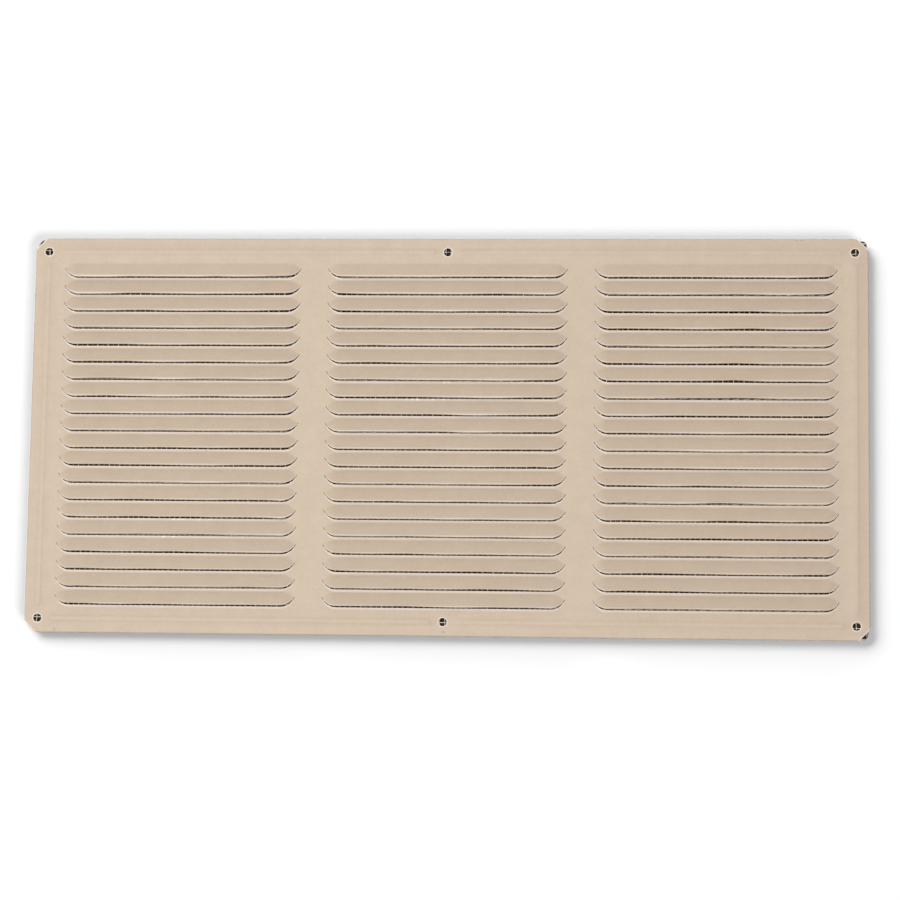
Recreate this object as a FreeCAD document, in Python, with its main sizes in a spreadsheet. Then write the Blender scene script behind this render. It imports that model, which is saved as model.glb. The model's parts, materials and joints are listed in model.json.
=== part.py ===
"""Soffit vent: a louvered aluminium sheet whose hems hold a wire insect screen.

The vent lies on its back. X runs along its length, +Y points away from the slits' open side and +Z points
out of the louvered face. The origin is under the middle of the sheet, on the plane its hems rest on.
"""
import FreeCAD, Part
import math
import os
import Sketcher

# Driving dimensions, in millimetres. Counts are plain numbers.
SIZES = {
    "panel_length": 406.4,
    "panel_height": 193.7,
    "sheet_thickness": 0.5,
    "hem_width": 4.2,
    "corner_clip": 5.5,
    "louver_columns": 3,
    "column_gap": 14.4,
    "side_margin": 15.25,
    "top_margin": 12.55,
    "bottom_margin": 13.3,
    "land_width": 1.25,
    "hood_reach": 7.2,
    "hood_lift": 3.8,
    "slit_gap": 0.6,
    "slit_end_rise": 3.65,
    "slit_end_run": 5.0,
    "screw_hole_diameter": 4.0,
    "screw_inset_along": 6.5,
    "screw_inset_across": 6.85,
    "bead_width": 3.4,
    "bead_height": 0.4,
    "bead_taper": 60.0,
    "bead_hole_distance": 5.5,
    "wire_diameter": 0.4,
    "screen_clearance": 0.05,
    "screen_edge_clearance": 0.3,
    "screen_gaps_each_side": 7,
    "screen_gap_rows": 8,
    "screen_rib_width": 5.0,
    "screw_clearance": 0.3,
}

# Worked-out sizes, as expressions on the sheet of driving dimensions.
HALF_LENGTH = "(sizes.panel_length / 2)"
HALF_HEIGHT = "(sizes.panel_height / 2)"
THICKNESS = "sizes.sheet_thickness"
HEM_GAP = "(2 * sizes.wire_diameter + 2 * sizes.screen_clearance)"
FOLD_RADIUS = f"({THICKNESS} + {HEM_GAP} / 2)"
FACE_BACK = f"({THICKNESS} + {HEM_GAP})"
FACE_FRONT = f"({FACE_BACK} + {THICKNESS})"
SCREW_X = f"({HALF_LENGTH} - sizes.screw_inset_along)"
SCREW_Y = f"({HALF_HEIGHT} - sizes.screw_inset_across)"
SCREW_RADIUS = "(sizes.screw_hole_diameter / 2)"

# A louver's rounded end is faceted at these fractions of its run, because every louver repeats it.
STATIONS = (0.0, 0.32, 0.58, 0.8, 0.96)

CCW = 1
CW = -1
TINY = 1e-6


def make_sheet(doc):
    """Put the driving dimensions in a spreadsheet, one aliased cell each."""
    sheet = doc.addObject("Spreadsheet::Sheet", "sizes")
    for row, (alias, value) in enumerate(SIZES.items(), start=1):
        sheet.set(f"A{row}", alias)
        sheet.set(f"B{row}", str(value))
        sheet.setAlias(f"B{row}", alias)
    doc.recompute()
    return sheet


def make_body(doc, label):
    """Make an empty body whose label names its file."""
    body = doc.addObject("PartDesign::Body", label)
    body.Label = label
    return body


def origin_feature(body, role):
    """Find one of the body's own origin planes or axes."""
    return next(item for item in body.Origin.OriginFeatures if item.Role == role)


def add_sketch(body, name, plane, offset=("0", "0", "0")):
    """Attach a sketch to an origin plane, moved by expressions along the sketch's own axes."""
    sketch = body.newObject("Sketcher::SketchObject", name)
    sketch.AttachmentSupport = [(origin_feature(body, plane), "")]
    sketch.MapMode = "FlatFace"
    for axis, expression in zip("xyz", offset):
        sketch.setExpression(f"AttachmentOffset.Base.{axis}", expression)
    return sketch


def bind(sketch, constraint, expression):
    """Add a dimension to a sketch and tie it to an expression."""
    index = sketch.addConstraint(constraint)
    sketch.setExpression(f"Constraints[{index}]", expression)


def number(sketch, expression):
    """Work an expression out to a plain number."""
    return float(sketch.evalExpression(expression))


def draw_side(sketch, start, end, turn):
    """Draw a straight side, or a half turn one way or the other.

    Returns the side's index and the numbers of its end points.
    """
    if turn is None:
        line = Part.LineSegment(start, end)
        return sketch.addGeometry(line, False), 1, 2
    circle = Part.Circle((start + end) / 2, FreeCAD.Vector(0, 0, 1), (end - start).Length / 2)
    first, last = (start, end) if turn == CCW else (end, start)
    curve = Part.ArcOfCircle(circle, circle.parameter(first), circle.parameter(last))
    points = (1, 2) if turn == CCW else (2, 1)
    return sketch.addGeometry(curve, False), *points


def bind_half_turn(sketch, side, corner, place):
    """Tie a half turn's centre to the line across its ends."""
    centre = sketch.Geometry[side].Center
    if math.isclose(centre.x, place.x, abs_tol=TINY):
        bind(sketch, Sketcher.Constraint("DistanceX", -1, 1, side, 3, place.x), corner[0])
    else:
        bind(sketch, Sketcher.Constraint("DistanceY", -1, 1, side, 3, place.y), corner[1])


def draw_loop(sketch, corners):
    """Draw one closed loop.

    Each corner is an (x, y) pair of expressions. A third item makes the side that leaves it a half turn.
    """
    places = [FreeCAD.Vector(number(sketch, c[0]), number(sketch, c[1]), 0) for c in corners]
    sides = []
    for index, corner in enumerate(corners):
        end = places[(index + 1) % len(corners)]
        turn = corner[2] if len(corner) > 2 else None
        sides.append(draw_side(sketch, places[index], end, turn))
    for (side, _, last), (follower, first, _) in zip(sides, sides[1:] + sides[:1]):
        sketch.addConstraint(Sketcher.Constraint("Coincident", side, last, follower, first))
    for (side, first, _), corner, place in zip(sides, corners, places):
        bind(sketch, Sketcher.Constraint("DistanceX", -1, 1, side, first, place.x), corner[0])
        bind(sketch, Sketcher.Constraint("DistanceY", -1, 1, side, first, place.y), corner[1])
        if len(corner) > 2:
            bind_half_turn(sketch, side, corner, place)


def draw_circle(sketch, x, y, radius):
    """Draw a circle whose centre and radius are expressions."""
    centre = FreeCAD.Vector(number(sketch, x), number(sketch, y), 0)
    circle = Part.Circle(centre, FreeCAD.Vector(0, 0, 1), number(sketch, radius))
    index = sketch.addGeometry(circle, False)
    bind(sketch, Sketcher.Constraint("DistanceX", -1, 1, index, 3, centre.x), x)
    bind(sketch, Sketcher.Constraint("DistanceY", -1, 1, index, 3, centre.y), y)
    bind(sketch, Sketcher.Constraint("Radius", index, circle.Radius), radius)


def mirrored(corners, flip_x, flip_y):
    """Mirror a loop's corners about the sketch's axes, keeping it a closed loop."""
    flips = (-1) ** (flip_x + flip_y)
    result = []
    for corner in corners:
        x = f"-({corner[0]})" if flip_x else corner[0]
        y = f"-({corner[1]})" if flip_y else corner[1]
        turn = [corner[2] * flips] if len(corner) > 2 else []
        result.append((x, y, *turn))
    return result


def add_pad(body, sketch, name, length, symmetric=False):
    """Raise a sketch by a length along its normal, or half of it to each side."""
    pad = body.newObject("PartDesign::Pad", name)
    pad.Profile = sketch
    pad.SideType = "Symmetric" if symmetric else "One side"
    pad.setExpression("Length", length)
    return pad


def add_pocket(body, sketch, name, length=None):
    """Cut a sketch along its normal, by a length or right through what lies above it."""
    pocket = body.newObject("PartDesign::Pocket", name)
    pocket.Profile = sketch
    pocket.Reversed = True
    if length is None:
        pocket.Type = "ThroughAll"
    else:
        pocket.setExpression("Length", length)
    return pocket


def fold_hems(body):
    """Fold a hem back on each side, with room for the screen inside the fold."""
    for name, plane, half_width, run in (
        ("hem_along", "YZ_Plane", HALF_HEIGHT, "sizes.panel_length"),
        ("hem_across", "XZ_Plane", HALF_LENGTH, "sizes.panel_height"),
    ):
        axis = f"({half_width} - {FOLD_RADIUS})"
        return_edge = f"({half_width} - sizes.hem_width)"
        section = [
            (axis, FACE_FRONT, CW),
            (axis, "0"),
            (return_edge, "0"),
            (return_edge, THICKNESS),
            (axis, THICKNESS, CCW),
            (axis, FACE_BACK),
        ]
        sketch = add_sketch(body, f"{name}_section", plane)
        draw_loop(sketch, section)
        draw_loop(sketch, mirrored(section, True, False))
        add_pad(body, sketch, name, run, symmetric=True)


def clip_corners(body):
    """Clip the face's corners and mitre the hem returns behind them."""
    clip = [
        (f"{HALF_LENGTH} - sizes.corner_clip", HALF_HEIGHT),
        (HALF_LENGTH, f"{HALF_HEIGHT} - sizes.corner_clip"),
        (HALF_LENGTH, HALF_HEIGHT),
    ]
    reach = "(sizes.corner_clip + sizes.hem_width)"
    mitre = [
        clip[0],
        (f"{HALF_LENGTH} - {reach}", f"{HALF_HEIGHT} - sizes.hem_width"),
        (f"{HALF_LENGTH} - sizes.hem_width", f"{HALF_HEIGHT} - {reach}"),
        clip[1],
        clip[2],
    ]
    for name, corners, depth in (("corner_clips", clip, None), ("hem_mitres", mitre, FOLD_RADIUS)):
        sketch = add_sketch(body, f"{name}_outline", "XY_Plane")
        for flip_x in (False, True):
            for flip_y in (False, True):
                draw_loop(sketch, mirrored(corners, flip_x, flip_y))
        add_pocket(body, sketch, name, depth)


def draw_screw_circles(sketch, radius):
    """Draw the four corner screw places and the two middle ones."""
    for x in (f"-{SCREW_X}", "0", SCREW_X):
        for y in (f"-{SCREW_Y}", SCREW_Y):
            draw_circle(sketch, x, y, radius)


def punch_screw_holes(body):
    """Punch the six screw holes through the flange."""
    sketch = add_sketch(body, "screw_hole_circles", "XY_Plane")
    draw_screw_circles(sketch, SCREW_RADIUS)
    add_pocket(body, sketch, "screw_holes")


def rectangle(x_low, x_high, y_low, y_high):
    """Give a rectangle's corners in turn."""
    return [(x_low, y_low), (x_high, y_low), (x_high, y_high), (x_low, y_high)]


def draw_beads(sketch):
    """Draw the outlines of the six beads, which stop short of the screw holes."""
    half_width = "(sizes.bead_width / 2)"
    clear = "sizes.bead_hole_distance"
    end_x = f"({SCREW_X} - {clear})"
    end_y = f"({SCREW_Y} - {clear})"
    along = rectangle(clear, end_x, f"{SCREW_Y} - {half_width}", f"{SCREW_Y} + {half_width}")
    across = rectangle(f"{SCREW_X} - {half_width}", f"{SCREW_X} + {half_width}", f"-{end_y}", end_y)
    for flip_x in (False, True):
        draw_loop(sketch, mirrored(across, flip_x, False))
        for flip_y in (False, True):
            draw_loop(sketch, mirrored(along, flip_x, flip_y))


def press_beads(body):
    """Press shallow beads outwards between the screw holes, hollow behind."""
    raised = add_sketch(body, "bead_outlines", "XY_Plane", ("0", "0", FACE_FRONT))
    draw_beads(raised)
    pad = add_pad(body, raised, "beads", "sizes.bead_height")
    pad.setExpression("TaperAngle", "-sizes.bead_taper")
    hollow = add_sketch(body, "bead_hollow_outlines", "XY_Plane", ("0", "0", FACE_BACK))
    draw_beads(hollow)
    pocket = add_pocket(body, hollow, "bead_hollows", "sizes.bead_height")
    pocket.setExpression("TaperAngle", "-sizes.bead_taper")


def make_blank(doc):
    """Make the folded sheet before its louvers are formed: face, hems, clips, screw holes and beads."""
    body = make_body(doc, "panel_blank")
    face_x = f"({HALF_LENGTH} - {FOLD_RADIUS})"
    face_y = f"({HALF_HEIGHT} - {FOLD_RADIUS})"
    sketch = add_sketch(body, "face_outline", "XY_Plane", ("0", "0", FACE_BACK))
    draw_loop(sketch, rectangle(f"-{face_x}", face_x, f"-{face_y}", face_y))
    add_pad(body, sketch, "face", THICKNESS)
    fold_hems(body)
    clip_corners(body)
    punch_screw_holes(body)
    press_beads(body)
    return body


def slit_curve(distance, straight, run, rise):
    """Give how far a slit edge has curved up at a distance from its middle."""
    radius = (run**2 + rise**2) / (2 * rise)
    along = max(distance - straight, 0)
    return radius - math.sqrt(radius**2 - along**2)


def louver_stations(size):
    """Give the louver's outline at each station from its middle to its right end.

    A station is a distance from the middle, then the slit, lip and bend lines' distances above the slit
    and the lip's lift. The bend line turns about the lip's end, and the hood falls evenly towards it.
    """
    end_run = math.sqrt(size["hood_reach"]**2 - size["slit_end_rise"]**2)
    straight_hood = size["louver_length"] / 2 - end_run
    straight_slit = size["louver_length"] / 2 - size["slit_end_run"]
    slope = size["hood_lift"] / (size["hood_reach"] - size["slit_gap"])
    stations = []
    for fraction in STATIONS:
        run = fraction * end_run
        distance = straight_hood + run
        slit = slit_curve(distance, straight_slit, size["slit_end_run"], size["slit_end_rise"])
        lip_rise = size["slit_end_rise"] - size["slit_gap"]
        lip = size["slit_gap"] + slit_curve(distance, straight_slit, size["slit_end_run"], lip_rise)
        bend = math.sqrt(size["hood_reach"]**2 - run**2)
        lift = slope * (size["hood_reach"] - math.hypot(run, lip))
        stations.append((distance, slit, lip, bend, lift))
    return stations


def hood_section(x, station, back, front, lip_edge):
    """Give the hood's section at a station: bend, front lip edge, back lip edge and back of the bend."""
    _, _, lip, bend, lift = station
    bend_shift = (lip_edge - (front - back)) * (bend - lip) / lift
    return [
        FreeCAD.Vector(x, bend, front),
        FreeCAD.Vector(x, lip, front + lift),
        FreeCAD.Vector(x, lip, front + lift - lip_edge),
        FreeCAD.Vector(x, bend - bend_shift, back),
        FreeCAD.Vector(x, bend, back),
    ]


def flat_faces(corners):
    """Cover four corners with one flat face, or with two where they don't lie in a plane."""
    a, b, c, d = corners
    if abs((b - a).cross(c - a).dot(d - a)) < TINY:
        return [Part.Face(Part.makePolygon([a, b, c, d, a]))]
    return [Part.Face(Part.makePolygon([a, b, c, a])), Part.Face(Part.makePolygon([a, c, d, a]))]


def form_hood(size, back, front):
    """Form one hood about its slit's middle, section by section from end to end."""
    stations = louver_stations(size)
    run = size["hood_reach"] - size["slit_gap"]
    lip_edge = (front - back) * math.hypot(run, size["hood_lift"]) / run
    sections = [hood_section(-s[0], s, back, front, lip_edge) for s in reversed(stations)]
    sections += [hood_section(s[0], s, back, front, lip_edge) for s in stations]
    faces = [Part.Face(Part.makePolygon([*end, end[0]])) for end in (sections[0], sections[-1])]
    for near, far in zip(sections, sections[1:]):
        for index, corner in enumerate(near):
            follower = (index + 1) % len(near)
            faces += flat_faces([corner, near[follower], far[follower], far[index]])
    hood = Part.makeSolid(Part.makeShell(faces))
    if hood.Volume < 0:
        hood.reverse()
    return hood


def make_window(size, back, front):
    """Make the cutter for the window that a hood leaves in the flat sheet."""
    stations = louver_stations(size)
    right = [(distance, slit) for distance, slit, _, _, _ in stations]
    right += [(distance, bend) for distance, _, _, bend, _ in reversed(stations)]
    left = [(-x, y) for x, y in reversed(right)]
    corners = [FreeCAD.Vector(x, y, back) for x, y in right + left]
    return Part.Face(Part.makePolygon([*corners, corners[0]])).extrude(FreeCAD.Vector(0, 0, front - back))


def make_field(size, rows, back, front):
    """Make the flat sheet under a column of louvers, from half a land above its hoods to half below."""
    length = size["louver_length"]
    pitch = size["louver_pitch"]
    corner = FreeCAD.Vector(-length / 2, -size["land_width"] / 2 - (rows - 1) * pitch, back)
    return Part.makeBox(length, rows * pitch, front - back, corner)


def louver_sizes(sheet):
    """Read the driving dimensions and work out the louvers' length, pitch and number of rows."""
    size = {name: float(sheet.get(name)) for name in SIZES}
    columns = size["louver_columns"]
    gaps = 2 * size["side_margin"] + (columns - 1) * size["column_gap"]
    size["louver_length"] = (size["panel_length"] - gaps) / columns
    size["louver_pitch"] = size["hood_reach"] + size["land_width"]
    room = size["panel_height"] - size["top_margin"] - size["bottom_margin"] + size["land_width"]
    size["louver_rows"] = math.floor(room / size["louver_pitch"])
    return size


def make_louver_panel(doc, sheet, blank):
    """Lance columns of louvers in the blank: hoods that open along one edge and close at their ends.

    A hood is stretched out of the sheet, so it is built from its sections, and repeated by row and column.
    """
    size = louver_sizes(sheet)
    back = number(sheet, FACE_BACK)
    front = number(sheet, FACE_FRONT)
    rows = size["louver_rows"]
    columns = int(size["louver_columns"])
    louver = make_field(size, 1, back, front).cut(make_window(size, back, front))
    louver = louver.fuse(form_hood(size, back, front)).removeSplitter()
    below = [louver.translated(FreeCAD.Vector(0, -row * size["louver_pitch"], 0)) for row in range(1, rows)]
    column = louver.fuse(below).removeSplitter()
    field = make_field(size, rows, back, front)
    column_pitch = size["louver_length"] + size["column_gap"]
    first_slit = size["panel_height"] / 2 - size["top_margin"] - size["hood_reach"]
    places = [
        FreeCAD.Vector(column_pitch * (index - (columns - 1) / 2), first_slit, 0)
        for index in range(columns)
    ]
    frame = blank.Shape.cut([field.translated(place) for place in places])
    panel = doc.addObject("Part::Feature", "louver_panel")
    panel.Label = "louver_panel"
    panel.Shape = frame.fuse([column.translated(place) for place in places]).removeSplitter().Solids[0]
    panel.Placement = FreeCAD.Placement()
    return panel


def add_pattern(body, original, name, axis, spacing, count):
    """Repeat a feature along one of the body's axes."""
    pattern = body.newObject("PartDesign::LinearPattern", name)
    pattern.Originals = [original]
    pattern.Direction = (origin_feature(body, axis), [""])
    pattern.Mode = "Spacing"
    pattern.setExpression("Offset", spacing)
    pattern.setExpression("Occurrences", count)
    body.Tip = pattern


def make_insect_screen(doc):
    """Make the screen: ribs along it lie on ribs across it, and its rim fits in the hems.

    The ribs stand for bunches of wires. The screws pass through the gaps between them, the middle pair
    through the middle column of gaps.
    """
    body = make_body(doc, "insect_screen")
    edge = f"({THICKNESS} + sizes.screen_edge_clearance)"
    half_length = f"({HALF_LENGTH} - {edge})"
    half_height = f"({HALF_HEIGHT} - {edge})"
    rim_x = f"({SCREW_X} + {SCREW_RADIUS} + sizes.screw_clearance)"
    rim_y = f"({SCREW_Y} + {SCREW_RADIUS} + sizes.screw_clearance)"
    low = f"({THICKNESS} + sizes.screen_clearance)"
    high = f"({low} + sizes.wire_diameter)"
    rib = "sizes.screen_rib_width"

    rim_along = rectangle(f"-{half_length}", half_length, rim_y, half_height)
    pitch_y = f"((2 * {rim_y} + {rib}) / sizes.screen_gap_rows)"
    first_y = f"({pitch_y} - {rib} - {rim_y})"
    rib_along = rectangle(f"-{half_length}", half_length, first_y, f"{first_y} + {rib}")
    rim_across = rectangle(rim_x, half_length, f"-{half_height}", half_height)
    gap_columns = "(2 * sizes.screen_gaps_each_side + 1)"
    pitch_x = f"((2 * {rim_x} + {rib}) / {gap_columns})"
    first_x = f"({pitch_x} - {rib} - {rim_x})"
    rib_across = rectangle(first_x, f"{first_x} + {rib}", f"-{half_height}", half_height)
    for name, level, rim, flip_x, rib_outline, axis, pitch, gaps in (
        ("across", low, rim_across, True, rib_across, "X_Axis", pitch_x, gap_columns),
        ("along", high, rim_along, False, rib_along, "Y_Axis", pitch_y, "sizes.screen_gap_rows"),
    ):
        rim_sketch = add_sketch(body, f"rim_{name}_outline", "XY_Plane", ("0", "0", level))
        draw_loop(rim_sketch, rim)
        draw_loop(rim_sketch, mirrored(rim, flip_x, not flip_x))
        add_pad(body, rim_sketch, f"rim_{name}", "sizes.wire_diameter")
        rib_sketch = add_sketch(body, f"rib_{name}_outline", "XY_Plane", ("0", "0", level))
        draw_loop(rib_sketch, rib_outline)
        pad = add_pad(body, rib_sketch, f"rib_{name}", "sizes.wire_diameter")
        add_pattern(body, pad, f"ribs_{name}", axis, pitch, f"{gaps} - 1")
    return body


def main():
    """Build the vent and write each piece's solid."""
    doc = FreeCAD.newDocument("soffit_vent")
    sheet = make_sheet(doc)
    blank = make_blank(doc)
    doc.recompute()
    pieces = [make_louver_panel(doc, sheet, blank), make_insect_screen(doc)]
    doc.recompute()
    for item in doc.Objects:
        if {"Invalid", "Error"} & set(item.State):
            raise RuntimeError(f"{item.Label} failed: {item.getStatusString()}")
    for piece in pieces:
        if piece.Shape.isNull() or not piece.Shape.isValid():
            raise RuntimeError(f"{piece.Label} has no valid shape")
    os.makedirs("parts", exist_ok=True)
    for piece in pieces:
        piece.Shape.exportStep(f"parts/{piece.Label}.step")
        print(piece.Label, len(piece.Shape.Solids), "solid", round(piece.Shape.Volume), "mm3")


main()
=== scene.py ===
"""The looks of a louvered soffit vent: a folded, painted aluminium sheet over woven wire cloth.

Each piece is modelled in millimetres, in the part's own frame, and brought to metres when it is finished.
"""

from __future__ import annotations

import json
import logging
import math
from collections.abc import Callable, Iterator, Sequence
from dataclasses import dataclass
from enum import Enum

import bmesh
import bpy
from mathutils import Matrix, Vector

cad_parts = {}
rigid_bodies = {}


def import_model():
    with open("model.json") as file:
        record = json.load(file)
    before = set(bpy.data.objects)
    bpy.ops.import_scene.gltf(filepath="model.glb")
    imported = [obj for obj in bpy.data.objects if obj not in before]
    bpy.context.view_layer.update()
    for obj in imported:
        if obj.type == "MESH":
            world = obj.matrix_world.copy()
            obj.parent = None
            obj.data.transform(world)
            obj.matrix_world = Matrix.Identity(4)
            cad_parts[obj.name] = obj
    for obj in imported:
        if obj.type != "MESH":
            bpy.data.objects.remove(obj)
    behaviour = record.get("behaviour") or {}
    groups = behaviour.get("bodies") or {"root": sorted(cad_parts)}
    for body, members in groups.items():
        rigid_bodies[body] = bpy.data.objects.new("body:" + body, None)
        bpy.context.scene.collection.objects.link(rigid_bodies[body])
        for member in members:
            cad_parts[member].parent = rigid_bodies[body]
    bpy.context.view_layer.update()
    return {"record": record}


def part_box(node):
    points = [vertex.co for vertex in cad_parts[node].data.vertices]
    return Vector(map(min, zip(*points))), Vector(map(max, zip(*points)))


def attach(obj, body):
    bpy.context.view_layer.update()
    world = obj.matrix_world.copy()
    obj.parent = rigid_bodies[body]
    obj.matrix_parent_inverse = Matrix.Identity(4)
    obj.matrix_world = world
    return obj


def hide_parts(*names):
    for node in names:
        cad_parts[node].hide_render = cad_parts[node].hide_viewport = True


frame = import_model()

LOG = logging.getLogger("soffit_vent")
MM = 0.001
WELD = 0.002
UP = Vector((0, 0, 1))
BODY = "root"

# How the paint thins at a slit, with a painted highlight along it: how far below the slit it is thinnest and
# brightest, how much of that reaches the tips, and the share of a row that lies below its slit
LAND_SHIFT = 0.15
TIP_WEAR_AND_HIGHLIGHT = 0.8
BELOW_SLIT = 0.25
# Painted glints below the slits, bright spots of painted highlight that stand in for wires catching the
# light: their drop from the slit, half their length and how wide they fade out
GLINT_DROP = 0.15
GLINT_HALF = 0.2
GLINT_WIDTH = 0.9
# How much of the sheet's broad mottling shows, and how much smoother the bright patches of bare metal are
BROAD_SHARE = 0.3
PATCH_POLISH = -0.5
# How far the cloth stays inside its node's box, and how far the dark card, a sheet of painted shade behind
# the screen, reaches past the cloth's corners
CLOTH_INSET = 0.4
CARD_SPARE = 0.2

# A test of a place, a plane to cut at as a point and its normal, and a colour
Test = Callable[[Vector], bool]
Cut = tuple[Vector, Vector]
Colour = tuple[float, float, float]


def near(value: float, target: float) -> bool:
    """Tell whether two lengths are the same, in millimetres."""
    return math.isclose(value, target, abs_tol=2 * WELD)


class Bench:
    """A mesh that is shaped in edit mode with Blender's operators, in millimetres."""

    def __init__(self, name: str) -> None:
        """Start an empty mesh and open it for editing.

        Args:
            name: The piece's name.
        """
        bpy.ops.object.select_all(action="DESELECT")
        bpy.ops.mesh.primitive_plane_add()
        self.piece: bpy.types.Object = bpy.context.active_object
        self.piece.name = name
        self.piece.data.name = name
        bpy.ops.object.mode_set(mode="EDIT")
        bpy.ops.mesh.delete(type="VERT")

    def chain(self, points: Sequence[Vector], closed: bool = False) -> None:
        """Draw edges from point to point and leave them selected.

        Args:
            points: The points in turn.
            closed: Whether the last point joins the first.
        """
        stops = [*points, points[0]] if closed else list(points)
        bpy.ops.mesh.select_all(action="DESELECT")
        bpy.ops.mesh.select_mode(type="VERT")
        bpy.ops.mesh.primitive_plane_add(location=stops[0])
        bpy.ops.mesh.merge(type="CENTER")
        for here, there in zip(stops, stops[1:]):
            bpy.ops.mesh.extrude_vertices_move(TRANSFORM_OT_translate={"value": there - here})
        bpy.ops.mesh.select_linked()
        if closed:
            bpy.ops.mesh.remove_doubles(threshold=WELD)
        bpy.ops.mesh.select_mode(type="EDGE")

    def sweep(self, offset: Vector) -> None:
        """Extrude what is selected by an offset, and leave its far end selected."""
        bpy.ops.mesh.extrude_region_move(TRANSFORM_OT_translate={"value": offset})

    def turn(self, angle: float, centre: Vector, axis: Vector, steps: int) -> None:
        """Spin what is selected by the right-hand rule, which the operator's own angle doesn't follow."""
        bpy.ops.mesh.spin(steps=steps, angle=-angle, center=centre, axis=axis)

    def pick_edges(self, test: Test, rim_only: bool = False) -> None:
        """Select the edges whose middle passes a test.

        Args:
            test: What an edge's middle has to pass.
            rim_only: Whether only the edges of fewer than two faces count.
        """
        bpy.ops.mesh.select_all(action="DESELECT")
        bpy.ops.mesh.select_mode(type="EDGE")
        mesh = bmesh.from_edit_mesh(self.piece.data)
        for edge in mesh.edges:
            open_enough = not rim_only or len(edge.link_faces) < 2
            if open_enough and test((edge.verts[0].co + edge.verts[1].co) / 2):
                edge.select_set(True)
        bmesh.update_edit_mesh(self.piece.data)

    def pick_faces(self, test: Test) -> None:
        """Select the faces whose middle passes a test.

        Args:
            test: What a face's middle has to pass.
        """
        bpy.ops.mesh.select_all(action="DESELECT")
        bpy.ops.mesh.select_mode(type="FACE")
        mesh = bmesh.from_edit_mesh(self.piece.data)
        for face in mesh.faces:
            face.select_set(test(face.calc_center_median()))
        bmesh.update_edit_mesh(self.piece.data)

    def picked_points(self) -> list[Vector]:
        """Give the places of the selected vertices."""
        mesh = bmesh.from_edit_mesh(self.piece.data)
        return [vertex.co.copy() for vertex in mesh.verts if vertex.select]

    def pick_all(self) -> None:
        """Select the whole mesh."""
        bpy.ops.mesh.select_all(action="SELECT")

    def trim(self, point: Vector, outward: Vector, capped: bool = False) -> None:
        """Cut off what is selected beyond a plane, whose normal points towards what is cut off."""
        bpy.ops.mesh.bisect(
            plane_co=point,
            plane_no=outward,
            use_fill=capped,
            clear_outer=True,
            threshold=WELD / 2,
        )

    def move(self, offset: Vector) -> None:
        """Move what is selected."""
        bpy.ops.transform.translate(value=offset)

    def copy_along(self, places: Sequence[Vector]) -> None:
        """Copy what is selected from the first place to each of the others."""
        for here, there in zip(places, places[1:]):
            bpy.ops.mesh.duplicate()
            self.move(there - here)

    def twist(self, angle: float) -> None:
        """Turn the whole mesh about the upright axis, by an angle in radians."""
        self.pick_all()
        bpy.ops.transform.rotate(value=angle, orient_axis="Z", center_override=(0, 0, 0))

    def weld(self) -> None:
        """Merge the vertices that lie in one place."""
        self.pick_all()
        bpy.ops.mesh.remove_doubles(threshold=WELD)

    def repeat(self, count: int, step: Vector) -> None:
        """Repeat the whole mesh along a line and weld the copies where they meet.

        Args:
            count: The number of copies, the first one included.
            step: The offset from one copy to the next.
        """
        bpy.ops.object.mode_set(mode="OBJECT")
        array = self.piece.modifiers.new("repeat", "ARRAY")
        array.count = count
        array.use_relative_offset = False
        array.use_constant_offset = True
        array.constant_offset_displace = step
        array.use_merge_vertices = True
        array.merge_threshold = WELD
        bpy.ops.object.modifier_apply(modifier=array.name)
        bpy.ops.object.mode_set(mode="EDIT")

    def face_up(self) -> None:
        """Point the faces of a sheet towards its front."""
        self.pick_all()
        bpy.ops.mesh.normals_make_consistent(inside=False)
        mesh = bmesh.from_edit_mesh(self.piece.data)
        mesh.normal_update()
        if sum(face.normal.z * face.calc_area() for face in mesh.faces) < 0:
            bpy.ops.mesh.flip_normals()

    def close(self, smooth_angle: float) -> bpy.types.Object:
        """Bring the mesh to metres, smooth its round faces and leave edit mode.

        Args:
            smooth_angle: The largest angle between faces that are shaded as one, in radians.

        Returns:
            The finished piece.
        """
        self.pick_all()
        bpy.ops.transform.resize(value=(MM, MM, MM), center_override=(0, 0, 0))
        bpy.ops.object.mode_set(mode="OBJECT")
        bpy.ops.object.shade_smooth_by_angle(angle=smooth_angle)
        return self.piece


class Ripple(Enum):
    """The layers of noise on the surfaces: each one's scale, per metre, and its finer octaves."""

    BROAD = (26.0, 3.0)
    CLOUD = (140.0, 3.0)
    SPECK = (700.0, 1.0)
    PEEL = (900.0, 2.0)
    PATCH = (420.0, 4.0)


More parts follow.
